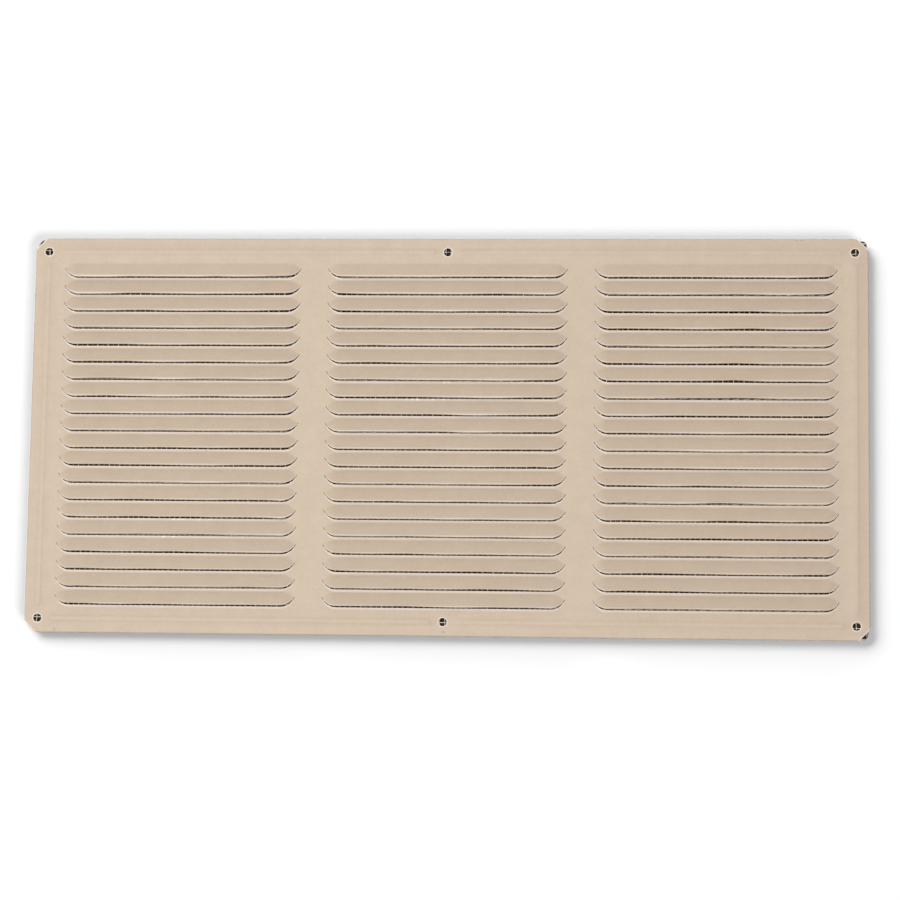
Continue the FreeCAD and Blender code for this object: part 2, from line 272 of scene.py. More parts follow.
class Link:
    """A node tree that is built by adding nodes and joining their sockets."""

    def __init__(self, tree: bpy.types.NodeTree) -> None:
        """Take an empty node tree."""
        self.tree = tree

    def add(self, kind: str, **settings: object) -> bpy.types.Node:
        """Add a node.

        Args:
            kind: The node's type.
            settings: The node's own properties.

        Returns:
            The node.
        """
        node = self.tree.nodes.new(kind)
        for name, value in settings.items():
            setattr(node, name, value)
        return node

    def feed(self, socket: bpy.types.NodeSocket, value: object) -> None:
        """Join a socket to another one, or set its value.

        Args:
            socket: The input.
            value: An output socket, a number or a tuple.
        """
        if isinstance(value, bpy.types.NodeSocket):
            self.tree.links.new(value, socket)
        else:
            socket.default_value = value

    def math(self, operation: str, *terms: object) -> bpy.types.NodeSocket:
        """Work out one sum.

        Args:
            operation: The Math node's operation.
            terms: Its terms.

        Returns:
            The result's socket.
        """
        node = self.add("ShaderNodeMath", operation=operation)
        for socket, term in zip(node.inputs, terms):
            self.feed(socket, term)
        return node.outputs[0]

    def hypot(self, first: bpy.types.NodeSocket, second: bpy.types.NodeSocket) -> bpy.types.NodeSocket:
        """Give the length of two sides at a right angle."""
        squares = (self.math("MULTIPLY", side, side) for side in (first, second))
        return self.math("SQRT", self.math("ADD", *squares))

    def vector(self, operation: str, first: object, second: object) -> bpy.types.Node:
        """Work out one sum of vectors and give its node."""
        node = self.add("ShaderNodeVectorMath", operation=operation)
        self.feed(node.inputs[0], first)
        self.feed(node.inputs[1], second)
        return node

    def scale(self, vector: object, factor: object) -> bpy.types.NodeSocket:
        """Scale a vector, or a colour, by a factor."""
        node = self.add("ShaderNodeVectorMath", operation="SCALE")
        self.feed(node.inputs[0], vector)
        self.feed(node.inputs["Scale"], factor)
        return node.outputs[0]

    def span(
        self, value: object, low: float, high: float, to_low: float, to_high: float
    ) -> bpy.types.NodeSocket:
        """Map a value from one range to another, and hold it there.

        Args:
            value: The value.
            low: The value's low end.
            high: The value's high end.
            to_low: What the low end becomes.
            to_high: What the high end becomes.

        Returns:
            The result's socket.
        """
        node = self.add("ShaderNodeMapRange")
        for socket, given in zip(node.inputs, (value, low, high, to_low, to_high)):
            self.feed(socket, given)
        return node.outputs[0]

    def ripple(self, place: object, layer: Ripple) -> bpy.types.NodeSocket:
        """Give an even noise over the surface.

        Args:
            place: The coordinates.
            layer: The layer of noise.

        Returns:
            The noise's socket, from -0.5 to 0.5.
        """
        scale, detail = layer.value
        node = self.add("ShaderNodeTexNoise")
        self.feed(node.inputs["Vector"], place)
        node.inputs["Scale"].default_value = scale
        node.inputs["Detail"].default_value = detail
        return self.math("SUBTRACT", node.outputs["Fac"], 0.5)

    def blend(self, factor: object, first: object, second: object) -> bpy.types.NodeSocket:
        """Mix two colours.

        Args:
            factor: The share of the second colour.
            first: The first colour.
            second: The second colour.

        Returns:
            The mixed colour's socket.
        """
        node = self.add("ShaderNodeMix", data_type="RGBA")
        self.feed(node.inputs["Factor"], factor)
        self.feed(node.inputs["A"], first)
        self.feed(node.inputs["B"], second)
        return node.outputs["Result"]

    def use(self, group: bpy.types.NodeTree, **values: object) -> bpy.types.Node:
        """Place a node group.

        Args:
            group: The group.
            values: What its inputs take, with spaces in their names as underscores.

        Returns:
            The group's node.
        """
        node = self.add("ShaderNodeGroup", node_tree=group)
        for name, value in values.items():
            self.feed(node.inputs[name.replace("_", " ")], value)
        return node


class Effect:
    """A shader node group that several finishes share."""

    def __init__(self, name: str, inputs: dict[str, str], outputs: dict[str, str]) -> None:
        """Make the group's empty tree with its sockets.

        Args:
            name: The group's name.
            inputs: Each input's name and kind.
            outputs: Each output's name and kind.
        """
        self.tree = bpy.data.node_groups.new(name, "ShaderNodeTree")
        for direction, sockets in (("INPUT", inputs), ("OUTPUT", outputs)):
            for label, kind in sockets.items():
                self.tree.interface.new_socket(label, in_out=direction, socket_type=f"NodeSocket{kind}")
        self.link = Link(self.tree)
        self.given = self.link.add("NodeGroupInput").outputs
        self.result = self.link.add("NodeGroupOutput").inputs


def make_mark() -> bpy.types.NodeTree:
    """Make the effect of one straight mark, such as a scratch, a nick or a speck.

    Returns:
        A group that gives 1 on the line from Start to End and fades to 0 at Width from it.
    """
    effect = Effect(
        "straight_mark",
        {"Place": "Vector", "Start": "Vector", "End": "Vector", "Width": "Float"},
        {"Mask": "Float"},
    )
    link, given = effect.link, effect.given
    along = link.vector("SUBTRACT", given["End"], given["Start"]).outputs[0]
    reach = link.vector("SUBTRACT", given["Place"], given["Start"]).outputs[0]
    share = link.math(
        "DIVIDE",
        link.vector("DOT_PRODUCT", reach, along).outputs["Value"],
        link.vector("DOT_PRODUCT", along, along).outputs["Value"],
    )
    foot = link.scale(along, link.span(share, 0.0, 1.0, 0.0, 1.0))
    away = link.vector("DISTANCE", reach, foot).outputs["Value"]
    depth = link.math("SUBTRACT", 1.0, link.math("DIVIDE", away, given["Width"]))
    link.feed(effect.result["Mask"], link.math("MAXIMUM", depth, 0.0))
    return effect.tree


def make_grain() -> bpy.types.NodeTree:
    """Make the effect of a rolled and coated sheet: mottling, fine specks and an orange peel.

    Returns:
        A group that gives a Tone about 1 and a Height about 0, each as strong as its input.
    """
    effect = Effect(
        "coated_sheet_grain",
        {"Place": "Vector", "Mottle": "Float", "Peel": "Float"},
        {"Tone": "Float", "Height": "Float"},
    )
    link, given = effect.link, effect.given
    broad, cloud, speck, peel = (
        link.ripple(given["Place"], layer)
        for layer in (Ripple.BROAD, Ripple.CLOUD, Ripple.SPECK, Ripple.PEEL)
    )
    fine = link.math("ADD", cloud, speck)
    layers = link.math("ADD", link.math("MULTIPLY", broad, BROAD_SHARE), fine)
    mottle = link.math("MULTIPLY", layers, given["Mottle"])
    link.feed(effect.result["Tone"], link.math("ADD", mottle, 1.0))
    link.feed(effect.result["Height"], link.math("MULTIPLY", peel, given["Peel"]))
    return effect.tree


def make_draw_lines() -> bpy.types.NodeTree:
    """Make the effect of drawn or sheared bare metal: uneven brightness and gloss.

    Returns:
        A group that gives a Tone about 1 and a Rough value to add, each as strong as its input.
    """
    effect = Effect(
        "bare_metal_lines",
        {"Place": "Vector", "Contrast": "Float"},
        {"Tone": "Float", "Rough": "Float"},
    )
    link, given = effect.link, effect.given
    patches = link.ripple(given["Place"], Ripple.PATCH)
    change = link.math("MULTIPLY", patches, given["Contrast"])
    link.feed(effect.result["Tone"], link.math("ADD", change, 1.0))
    link.feed(effect.result["Rough"], link.math("MULTIPLY", change, PATCH_POLISH))
    return effect.tree


def make_edge_wear_and_highlight(sheet: LouverSheet) -> bpy.types.NodeTree:
    """Make the effect of sheared edges, where the coat is thin, together with a painted highlight along
    them: at the slits, the screw holes and the clips.

    Args:
        sheet: The sheet's sizes.

    Returns:
        A group that gives a Slit and a Rim mask. Each is 1 at an edge and fades to 0 at its width from it,
        which is in millimetres.
    """
    effect = Effect(
        "sheared_edges_and_highlight",
        {"Place": "Vector", "Slit Width": "Float", "Rim Width": "Float"},
        {"Slit": "Float", "Rim": "Float"},
    )
    link, given = effect.link, effect.given
    axes = link.add("ShaderNodeSeparateXYZ")
    link.feed(axes.inputs[0], link.scale(given["Place"], 1 / MM))
    x, y = axes.outputs["X"], axes.outputs["Y"]
    far_x, far_y = link.math("ABSOLUTE", x), link.math("ABSOLUTE", y)

    column, pitch = sheet.column_pitch, sheet.louver_pitch
    low = -pitch * BELOW_SLIT
    along = link.math("ABSOLUTE", link.math("WRAP", x, column / 2, -column / 2))
    above = link.math("WRAP", link.math("SUBTRACT", y, sheet.first_slit), low + pitch, low)
    past = link.span(along, sheet.slit_end_start, sheet.louver_length / 2, 0.0, sheet.slit_end_run)
    radius = sheet.slit_end_radius
    drop = link.math("SQRT", link.math("SUBTRACT", radius**2, link.math("MULTIPLY", past, past)))
    curve = link.math("SUBTRACT", radius + sheet.slit_gap / 2 - LAND_SHIFT, drop)
    apart = link.math("ABSOLUTE", link.math("SUBTRACT", above, curve))
    reach = link.math("ADD", given["Slit Width"], sheet.slit_gap / 2)
    middle = sheet.first_slit + low + pitch * (1 - sheet.rows / 2)
    in_rows = link.math("COMPARE", y, middle, pitch * sheet.rows / 2)
    in_columns = link.math("COMPARE", x, 0.0, column * sheet.columns / 2)
    in_slit = link.math("LESS_THAN", along, sheet.louver_length / 2)
    inside = link.math("MULTIPLY", in_slit, link.math("MULTIPLY", in_rows, in_columns))
    slit = link.math("MAXIMUM", link.math("SUBTRACT", 1.0, link.math("DIVIDE", apart, reach)), 0.0)
    fading = link.span(past, 0.0, sheet.slit_end_run, 1.0, TIP_WEAR_AND_HIGHLIGHT)
    faded = link.math("MULTIPLY", slit, fading)
    link.feed(effect.result["Slit"], link.math("MULTIPLY", faded, inside))

    off_y = link.math("SUBTRACT", far_y, sheet.screw_y)
    at_corner = link.hypot(link.math("SUBTRACT", far_x, sheet.screw_x), off_y)
    at_middle = link.hypot(x, off_y)
    from_hole = link.math("SUBTRACT", link.math("MINIMUM", at_corner, at_middle), sheet.screw_radius)
    corner = sheet.half_length + sheet.half_height - sheet.corner_clip
    short_of_clip = link.math("SUBTRACT", corner, link.math("ADD", far_x, far_y))
    from_clip = link.math("MULTIPLY", short_of_clip, math.sqrt(0.5))
    nearest = link.math("MINIMUM", from_hole, from_clip)
    rim = link.math("SUBTRACT", 1.0, link.math("DIVIDE", nearest, given["Rim Width"]))
    link.feed(effect.result["Rim"], link.math("MAXIMUM", rim, 0.0))
    return effect.tree


@dataclass(frozen=True)
class Finish:
    """A finish: one named material with a Principled shader."""

    name: str
    colour: Colour
    roughness: float

    def start(self) -> tuple[bpy.types.Material, Link, bpy.types.Node, bpy.types.NodeSocket]:
        """Make the material with its shader.

        Returns:
            The material, its tree, its shader and the place on the piece.
        """
        material = bpy.data.materials.new(self.name)
        material.use_nodes = True
        link = Link(material.node_tree)
        shader = material.node_tree.nodes["Principled BSDF"]
        shader.inputs["Base Color"].default_value = (*self.colour, 1.0)
        shader.inputs["Roughness"].default_value = self.roughness
        return material, link, shader, link.add("ShaderNodeTexCoord").outputs["Object"]


@dataclass(frozen=True)
class BakedEnamel(Finish):
    """Satin enamel baked on the sheet."""

    mottle: float
    peel: float
    shine: float = 0.15
    peel_depth: float = 0.1 * MM
    peel_strength: float = 0.35

    def make(self, grain: bpy.types.NodeTree) -> bpy.types.Material:
        """Make the material.

        Args:
            grain: The effect of a coated sheet.

        Returns:
            The material.
        """
        material, link, shader, place = self.start()
        link.feed(shader.inputs["Base Color"], self.coat(grain, link, shader, place))
        return material

    def coat(
        self, grain: bpy.types.NodeTree, link: Link, shader: bpy.types.Node, place: bpy.types.NodeSocket
    ) -> bpy.types.NodeSocket:
        """Lay the coat with its orange peel.

        Args:
            grain: The effect of a coated sheet.
            link: The material's tree.
            shader: Its shader.
            place: The place on the piece.

        Returns:
            The coat's colour.
        """
        shader.inputs["Specular IOR Level"].default_value = self.shine
        film = link.use(grain, Place=place, Mottle=self.mottle, Peel=self.peel)
        bump = link.add("ShaderNodeBump")
        bump.inputs["Distance"].default_value = self.peel_depth
        bump.inputs["Strength"].default_value = self.peel_strength
        link.feed(bump.inputs["Height"], film.outputs["Height"])
        link.feed(shader.inputs["Normal"], bump.outputs["Normal"])
        return link.scale(self.colour, film.outputs["Tone"])


@dataclass(frozen=True)
class Mark:
    """A straight mark on the sheet's face, in millimetres."""

    start: tuple[float, float]
    end: tuple[float, float]
    width: float
    strength: float


@dataclass(frozen=True)
class FaceEnamel(BakedEnamel):
    """The enamel of the sheet's face, with marks of handling, thin edges that also carry a painted
    highlight, and painted glints below some slits.
    """

    face: float = 0.0
    marks: tuple[Mark, ...] = ()
    # Painted highlight: near-white glints below some slits, which stand in for wires catching the light
    glints: tuple[Mark, ...] = ()
    mark_colour: Colour = (0.2, 0.15, 0.1)
    glint_colour: Colour = (1.0, 1.0, 0.96)
    # Thin coat at sheared edges together with a painted highlight along the slits and round the holes and
    # clips
    edge_and_highlight_colour: Colour = (0.96, 0.89, 0.8)
    slit_width: float = 1.1
    rim_width: float = 0.6
    slit_wear_and_highlight: float = 0.8
    rim_wear_and_highlight: float = 0.75

    def make_face(
        self, grain: bpy.types.NodeTree, mark: bpy.types.NodeTree, wear_and_highlight: bpy.types.NodeTree
    ) -> bpy.types.Material:
        """Make the material.

        Args:
            grain: The effect of a coated sheet.
            mark: The effect of one mark.
            wear_and_highlight: The effect of sheared edges, with a painted highlight along them.

        Returns:
            The material.
        """
        material, link, shader, place = self.start()
        colour = self.coat(grain, link, shader, place)
        edges = link.use(wear_and_highlight, Place=place, Slit_Width=self.slit_width, Rim_Width=self.rim_width)
        slit = link.math("MULTIPLY", edges.outputs["Slit"], self.slit_wear_and_highlight)
        rim = link.math("MULTIPLY", edges.outputs["Rim"], self.rim_wear_and_highlight)
        # Painted highlight and thin coat: the slit and rim masks blend in a near-white colour
        colour = link.blend(link.math("MAXIMUM", slit, rim), colour, (*self.edge_and_highlight_colour, 1.0))
        strokes = [(each, self.mark_colour) for each in self.marks]
        # The glints are painted highlights, blended in near white
        strokes += [(each, self.glint_colour) for each in self.glints]
        for each, stroke_colour in strokes:
            stroke = link.use(
                mark,
                Place=place,
                Start=tuple(MM * value for value in (*each.start, self.face)),
                End=tuple(MM * value for value in (*each.end, self.face)),
                Width=MM * each.width,
            )
            share = link.math("MULTIPLY", stroke.outputs["Mask"], each.strength)
            colour = link.blend(share, colour, (*stroke_colour, 1.0))
        link.feed(shader.inputs["Base Color"], colour)
        return material


@dataclass(frozen=True)
class BareMetal(Finish):
    """Bare aluminium, as on sheared edges and drawn wire."""

    contrast: float

    def make(self, lines: bpy.types.NodeTree) -> bpy.types.Material:
        """Make the material.

        Args:
            lines: The effect of drawn or sheared metal.

        Returns:
            The material.
        """
        material, link, shader, place = self.start()
        shader.inputs["Metallic"].default_value = 1.0
        worn = link.use(lines, Place=place, Contrast=self.contrast)
        link.feed(shader.inputs["Base Color"], link.scale(self.colour, worn.outputs["Tone"]))
        link.feed(shader.inputs["Roughness"], link.math("ADD", worn.outputs["Rough"], self.roughness))
        return material


@dataclass(frozen=True)
class StagePaper(Finish):
    """Plain paper of the stage, which can be seen through from below."""

    def make(self) -> bpy.types.Material:
        """Make the material."""
        material, link, shader, _ = self.start()
        shader.inputs["Specular IOR Level"].default_value = 0.0
        side = link.add("ShaderNodeNewGeometry").outputs["Backfacing"]
        link.feed(shader.inputs["Alpha"], link.math("SUBTRACT", 1.0, side))
        return material


@dataclass
class LouverSheet:
    """The folded sheet: louvers in columns, a beaded flange with screw holes, and hems. In millimetres."""

    half_length: float
    half_height: float
    screw_x: float
    screw_y: float
    screw_radius: float
    thickness: float = 0.5
    fold_radius: float = 0.95
    hem_width: float = 4.2
    corner_clip: float = 5.5
    columns: int = 3
    rows: int = 20
    column_gap: float = 14.4
    side_margin: float = 15.25
    top_margin: float = 12.55
    land_width: float = 1.25
    hood_reach: float = 7.2
    hood_lift: float = 3.8
    bend_radius: float = 2.4
    slit_gap: float = 0.34
    slit_growth: float = 0.0024
    slit_tip_gap: float = 0.28
    slit_end_rise: float = 4.3
    slit_end_run: float = 6.2
    bead_width: float = 3.4
    bead_height: float = 0.4
    bead_flat: float = 0.5
    bead_hole_distance: float = 5.5
    bend_steps: int = 5
    end_turn: float = math.radians(80)
    end_bluntness: float = 0.95
    hood_steps: int = 12
    end_steps: int = 10
    slit_end_steps: int = 6
    waver_from: float = 0.2
    waver_span: float = 30.0
    waver_reach: float = 1.15
    fold_steps: int = 8
    bead_steps: int = 8
    hole_sides: int = 28
    tile_margin: float = 2.0
    smooth_angle: float = math.radians(32)

    @property
    def louver_length(self) -> float:
        """A louver's length from slit tip to slit tip."""
        gaps = 2 * self.side_margin + (self.columns - 1) * self.column_gap
        return (2 * self.half_length - gaps) / self.columns

    @property
    def louver_pitch(self) -> float:
        """The distance from one slit to the next."""
        return self.hood_reach + self.land_width

    @property
    def face(self) -> float:
        """The height of the sheet's face above its rest plane."""
        return 2 * self.fold_radius

    @property
    def flat_x(self) -> float:
        """Where the face bends into the hems at the ends."""
        return self.half_length - self.fold_radius

    @property
    def flat_y(self) -> float:
        """Where the face bends into the hems at the long sides."""
        return self.half_height - self.fold_radius

    @property
    def slit_end_start(self) -> float:
        """Where a slit starts to curve up, from its middle."""
        return self.louver_length / 2 - self.slit_end_run

    @property
    def slit_end_radius(self) -> float:
        """The radius that a slit's ends curve up with."""
        rise = self.slit_end_rise - self.slit_gap
        return (self.slit_end_run**2 + rise**2) / (2 * rise)

    @property
    def hood_end(self) -> float:
        """Where a hood's straight part ends, from its middle."""
        reach = math.sqrt(self.hood_reach**2 - self.slit_end_rise**2)
        return self.louver_length / 2 - self.end_bluntness * reach

    @property
    def tile_x(self) -> float:
        """Half the width of the tile that holds one louver."""
        return self.louver_length / 2 + self.tile_margin

    @property
    def column_pitch(self) -> float:
        """The distance from one column of louvers to the next."""
        return self.louver_length + self.column_gap

    @property
    def column_middles(self) -> list[float]:
        """The places of the columns' middles along the sheet."""
        return [self.column_pitch * (index - (self.columns - 1) / 2) for index in range(self.columns)]

    @property
    def hood_slope(self) -> float:
        """How steeply a hood rises from the sheet to its lip, in radians."""
        return math.atan2(self.hood_lift, self.hood_reach - self.slit_gap)

    @property
    def hood_foot(self) -> float:
        """Where a hood's soft bend starts, above its slit."""
        return self.hood_reach + self.bend_radius * math.tan(self.hood_slope / 2)

    @property
    def tile_top(self) -> float:
        """The top of the tile that holds one louver, above its slit."""
        return (self.hood_foot + self.louver_pitch) / 2

    @property
    def first_slit(self) -> float:
        """The height of the first row's slit on the panel."""
        return self.half_height - self.top_margin - self.hood_reach

    def slit_glints(self) -> tuple[Mark, ...]:
        """Give the painted glints at the slits' edges: bright spots of painted highlight where wires would
        catch the light.

        Returns:
            The glints, as short painted marks on the land below their slits.
        """
        glints = []
        for row, spots in GLINT_ROWS.items():
            y = self.first_slit - row * self.louver_pitch - GLINT_DROP
            for x, strength in spots:
                glints.append(Mark((x - GLINT_HALF, y), (x + GLINT_HALF, y), GLINT_WIDTH, strength))
        return tuple(glints)

    def hood_section(self) -> list[Vector]:
        """Draw a hood's section, from the flat sheet through the soft bend up to the lip.

        Returns:
            The section's points.
        """
        points = []
        for step in range(self.bend_steps + 1):
            turned = self.hood_slope * step / self.bend_steps
            out = self.hood_foot - self.bend_radius * math.sin(turned)
            points.append(Vector((0, out, self.bend_radius * (1 - math.cos(turned)))))
        lip = Vector((0, self.slit_gap, self.hood_lift))
        return [*points, (points[-1] + lip) / 2, lip]

    def lip_planes(self) -> Iterator[Cut]:
        """Give the upright planes that trim a hood to its lip, whose ends curve up.

        Yields:
            A point on each plane and its normal, away from the hood.
        """
        yield Vector((0, self.slit_gap, 0)), Vector((0, -1, 0))
        radius, start = self.slit_end_radius, self.slit_end_start
        end = math.asin(self.slit_end_run / radius)
        corners = []
        for step in range(self.slit_end_steps + 1):
            turned = end * step / self.slit_end_steps
            rise = radius * (1 - math.cos(turned))
            corners.append((start + radius * math.sin(turned), self.slit_gap + rise))
        for (x, y), (next_x, next_y) in zip(corners, corners[1:]):
            for side in (-1, 1):
                yield Vector((side * x, y, 0)), Vector((side * (next_y - y), x - next_x, 0))

    def form_louver(self, bench: Bench) -> None:
        """Form one louver: its hood, its slit and the flat tile round them.

        Args:
            bench: The sheet's mesh, still empty.
        """
        start = Vector((-self.hood_end, 0, 0))
        bench.chain([point + start for point in self.hood_section()])
        for _ in range(self.hood_steps):
            bench.sweep(-2 * start / self.hood_steps)
        for side in (-1, 1):
            bench.pick_edges(lambda place: near(place.x, side * self.hood_end))
            bench.turn(-side * self.end_turn, -side * start, UP, self.end_steps)
            bench.pick_edges(lambda place: side * place.x > self.hood_end + WELD)
            bpy.ops.transform.resize(value=(self.end_bluntness, 1, 1), center_override=-side * start)
        for point, outward in self.lip_planes():
            bench.pick_all()
            bench.trim(point, outward)
        bench.weld()
        bench.pick_edges(lambda place: not near(place.z, 0), rim_only=True)
        tip = max(bench.picked_points(), key=lambda point: (round(point.y, 2), point.x))
        wider = (tip.x + self.slit_tip_gap) / tip.x
        deeper = tip.y / (tip.y - self.slit_gap)
        bpy.ops.mesh.duplicate()
        bpy.ops.transform.resize(value=(wider, deeper, 0), center_override=(0, tip.y, 0))
        for side in (-1, 1):
            bench.chain([Vector((side * tip.x, tip.y, 0)), Vector((side * tip.x * wider, tip.y, 0))])
        bench.weld()
        low = self.tile_top - self.louver_pitch
        x = self.tile_x
        corners = ((-x, low), (x, low), (x, self.tile_top), (-x, self.tile_top))
        bench.chain([Vector((*corner, 0)) for corner in corners], closed=True)
        bench.pick_edges(lambda place: near(place.z, 0), rim_only=True)
        bpy.ops.mesh.fill(use_beauty=True)

    def lay_columns(self, bench: Bench) -> None:
        """Repeat the louver down a column and the column across the sheet.

        Args:
            bench: The sheet's mesh, with one louver.
        """
        bench.repeat(self.rows, Vector((0, -self.louver_pitch, 0)))
        bench.repeat(self.columns, Vector((self.column_pitch, 0, 0)))
        bench.pick_all()
        bench.move(Vector((self.column_middles[0], self.first_slit, 0)))

    def press_bead(self, bench: Bench, half_length: float, across: bool, places: Sequence[Vector]) -> None:
        """Press one bead with round ends, and copy it to its places.

        Args:
            bench: The sheet's mesh.
            half_length: Half the bead's length.
            across: Whether the bead runs across the sheet.
            places: The middles of the beads.
        """
        half_width = self.bead_width / 2
        end = half_length - half_width
        along = Vector((0, 1, 0)) if across else Vector((1, 0, 0))
        aside = along.cross(UP)
        section = []
        for step in range(-self.bead_steps // 2, self.bead_steps // 2 + 1):
            share = 2 * step / self.bead_steps
            flank = max(abs(share) - self.bead_flat, 0) / (1 - self.bead_flat)
            lift = self.bead_height * math.cos(flank * math.pi / 2) ** 2
            section.append(aside * half_width * share + UP * lift)
        first = places[0]
        bench.chain([point + first - along * end for point in section])
        bench.sweep(along * 2 * end)
        for side in (-1, 1):
            cap = first + along * side * end

            def at_end(place: Vector) -> bool:
                """Tell whether an edge is in one half of this end's section."""
                apart = place - cap
                inside = WELD < apart.dot(aside) < half_width
                return inside and near(apart.dot(along), 0) and place.z > 0

            bench.pick_edges(at_end, rim_only=True)
            bench.turn(side * math.pi, cap, UP, self.bead_steps)
        bench.weld()

        def in_bead(place: Vector) -> bool:
            """Tell whether a face is in this bead."""
            apart = place - first
            inside = abs(apart.dot(aside)) < half_width and abs(apart.dot(along)) < half_length
            return inside and place.z > 0

        bench.pick_faces(in_bead)
        bench.copy_along(places)

    def press_beads(self, bench: Bench) -> None:
        """Press the beads between the screw holes.

        Args:
            bench: The sheet's mesh.
        """
        clear = self.bead_hole_distance
        half_along = (self.screw_x - 2 * clear) / 2
        middle = clear + half_along
        signs = (-1, 1)
        along = [Vector((x * middle, y * self.screw_y, 0)) for x in signs for y in signs]
        self.press_bead(bench, half_along, False, along)
        across = [Vector((x * self.screw_x, 0, 0)) for x in signs]
        self.press_bead(bench, self.screw_y - clear, True, across)

    def lay_flange(self, bench: Bench) -> None:
        """Fill the flat sheet between the columns, the beads, the screw holes and the clipped outline.

        Args:
            bench: The sheet's mesh.
        """
        for x in (-self.screw_x, 0, self.screw_x):
            for y in (-self.screw_y, self.screw_y):
                bpy.ops.mesh.primitive_circle_add(
                    vertices=self.hole_sides,
                    radius=self.screw_radius,
                    location=(x, y, 0),
                )
        clip = self.corner_clip - 2 * self.fold_radius
        corners = []
        for x, y in ((1, 1), (-1, 1), (-1, -1), (1, -1)):
            on_side = Vector((x * self.flat_x, y * (self.flat_y - clip), 0))
            on_top = Vector((x * (self.flat_x - clip), y * self.flat_y, 0))
            corners += [on_side, on_top] if x * y > 0 else [on_top, on_side]
        bench.chain(corners, closed=True)
        top = self.first_slit + self.tile_top
        low = top - self.rows * self.louver_pitch

        def on_flange(place: Vector) -> bool:
            """Tell whether a rim edge bounds the flange, and not a slit."""
            in_rows = low + WELD < place.y < top - WELD
            in_column = any(abs(place.x - middle) < self.tile_x - WELD for middle in self.column_middles)
            return near(place.z, 0) and not (in_rows and in_column)

        bench.pick_edges(on_flange, rim_only=True)
        bpy.ops.mesh.fill(use_beauty=True)
        bench.weld()

    def fold_hems(self, bench: Bench) -> None:
        """Fold the hems back on the four sides, and mitre their returns.

        Args:
            bench: The sheet's mesh.
        """
        reach = self.hem_width - self.fold_radius
        sides = (
            (Vector((0, 1, 0)), Vector((-1, 0, 0)), self.flat_y),
            (Vector((0, -1, 0)), Vector((1, 0, 0)), self.flat_y),
            (Vector((1, 0, 0)), Vector((0, 1, 0)), self.flat_x),
            (Vector((-1, 0, 0)), Vector((0, -1, 0)), self.flat_x),
        )
        for outward, axis, flat in sides:
            bench.pick_edges(lambda place: near(place.dot(outward), flat), rim_only=True)
            centre = outward * flat - UP * self.fold_radius
            bench.turn(math.pi, centre, axis, self.fold_steps)
            bench.sweep(-outward * reach)
        corner = Vector((self.half_length, self.half_height, 0))
        for outward, axis, flat in sides:
            for end in (-axis, axis):
                clip_point = Vector(
                    (
                        (outward.x + end.x) * corner.x - end.x * self.corner_clip,
                        (outward.y + end.y) * corner.y - end.y * self.corner_clip,
                        0,
                    )
                )
                bench.pick_faces(lambda place: place.dot(outward) > flat - reach and place.z < -WELD)
                bench.trim(clip_point, outward + end)
                bench.pick_faces(
                    lambda place: place.dot(outward) > flat - reach and place.z < -self.fold_radius
                )
                bench.trim(clip_point, end - outward)

    def straightness(self, x: float) -> float:
        """Tell how far a place is from its slit's ends: 0 at a tip and 1 where the slit is straight."""
        from_tip = self.louver_length / 2 - min(abs(x - middle) for middle in self.column_middles)
        return min(max(from_tip / self.slit_end_run, 0.0), 1.0)

    def settle_lips(self, piece: bpy.types.Object) -> None:
        """Let the lips waver, as the press leaves them, and open the lower slits more, except at their ends.

        Args:
            piece: The sheet, out of edit mode.
        """
        lips = piece.vertex_groups.new(name="lips")
        lower_lips = piece.vertex_groups.new(name="lower_lips")
        field_height = self.rows * self.louver_pitch
        for vertex in piece.data.vertices:
            lifted = (vertex.co.z - self.face) / self.hood_lift
            if lifted > self.waver_from:
                share = min(lifted, 1.0) * self.straightness(vertex.co.x)
                below = max(self.first_slit - vertex.co.y, 0.0) / field_height
                lips.add([vertex.index], share, "REPLACE")
                lower_lips.add([vertex.index], share * below, "REPLACE")
        cloud = bpy.data.textures.new("waver", "CLOUDS")
        cloud.noise_scale = self.waver_span
        for group, reach, texture, rest in (
            (lips, self.waver_reach, cloud, 0.5),
            (lower_lips, self.slit_growth * field_height, None, 0.0),
        ):
            push = piece.modifiers.new(group.name, "DISPLACE")
            push.texture = texture
            push.texture_coords = "LOCAL"
            push.direction = "Y"
            push.strength = reach
            push.mid_level = rest
            push.vertex_group = group.name
        for name in [modifier.name for modifier in piece.modifiers]:
            bpy.ops.object.modifier_apply(modifier=name)
        piece.vertex_groups.clear()

    def build(self, finishes: Sequence[bpy.types.Material]) -> bpy.types.Object:
        """Model the sheet and dress it.

        Args:
            finishes: The materials of its face, its back and its cut edges.

        Returns:
            The finished piece.
        """
        bench = Bench("louver_sheet")
        self.form_louver(bench)
        self.lay_columns(bench)
        self.press_beads(bench)
        self.lay_flange(bench)
        self.fold_hems(bench)
        bench.weld()
        bench.face_up()
        bench.pick_all()
        bench.move(UP * self.face)
        piece = bench.piece
        for finish in finishes:
            piece.data.materials.append(finish)
        bpy.ops.object.mode_set(mode="OBJECT")
        self.settle_lips(piece)
        wall = piece.modifiers.new("sheet", "SOLIDIFY")
        wall.thickness = self.thickness
        wall.offset = -1
        wall.use_even_offset = True
        wall.material_offset = 1
        wall.material_offset_rim = 2
        bpy.ops.object.modifier_apply(modifier=wall.name)
        bpy.ops.object.mode_set(mode="EDIT")
        return bench.close(self.smooth_angle)


class Run(Enum):
    """The way that the wires of one layer run."""

    ALONG = "along"
    ACROSS = "across"


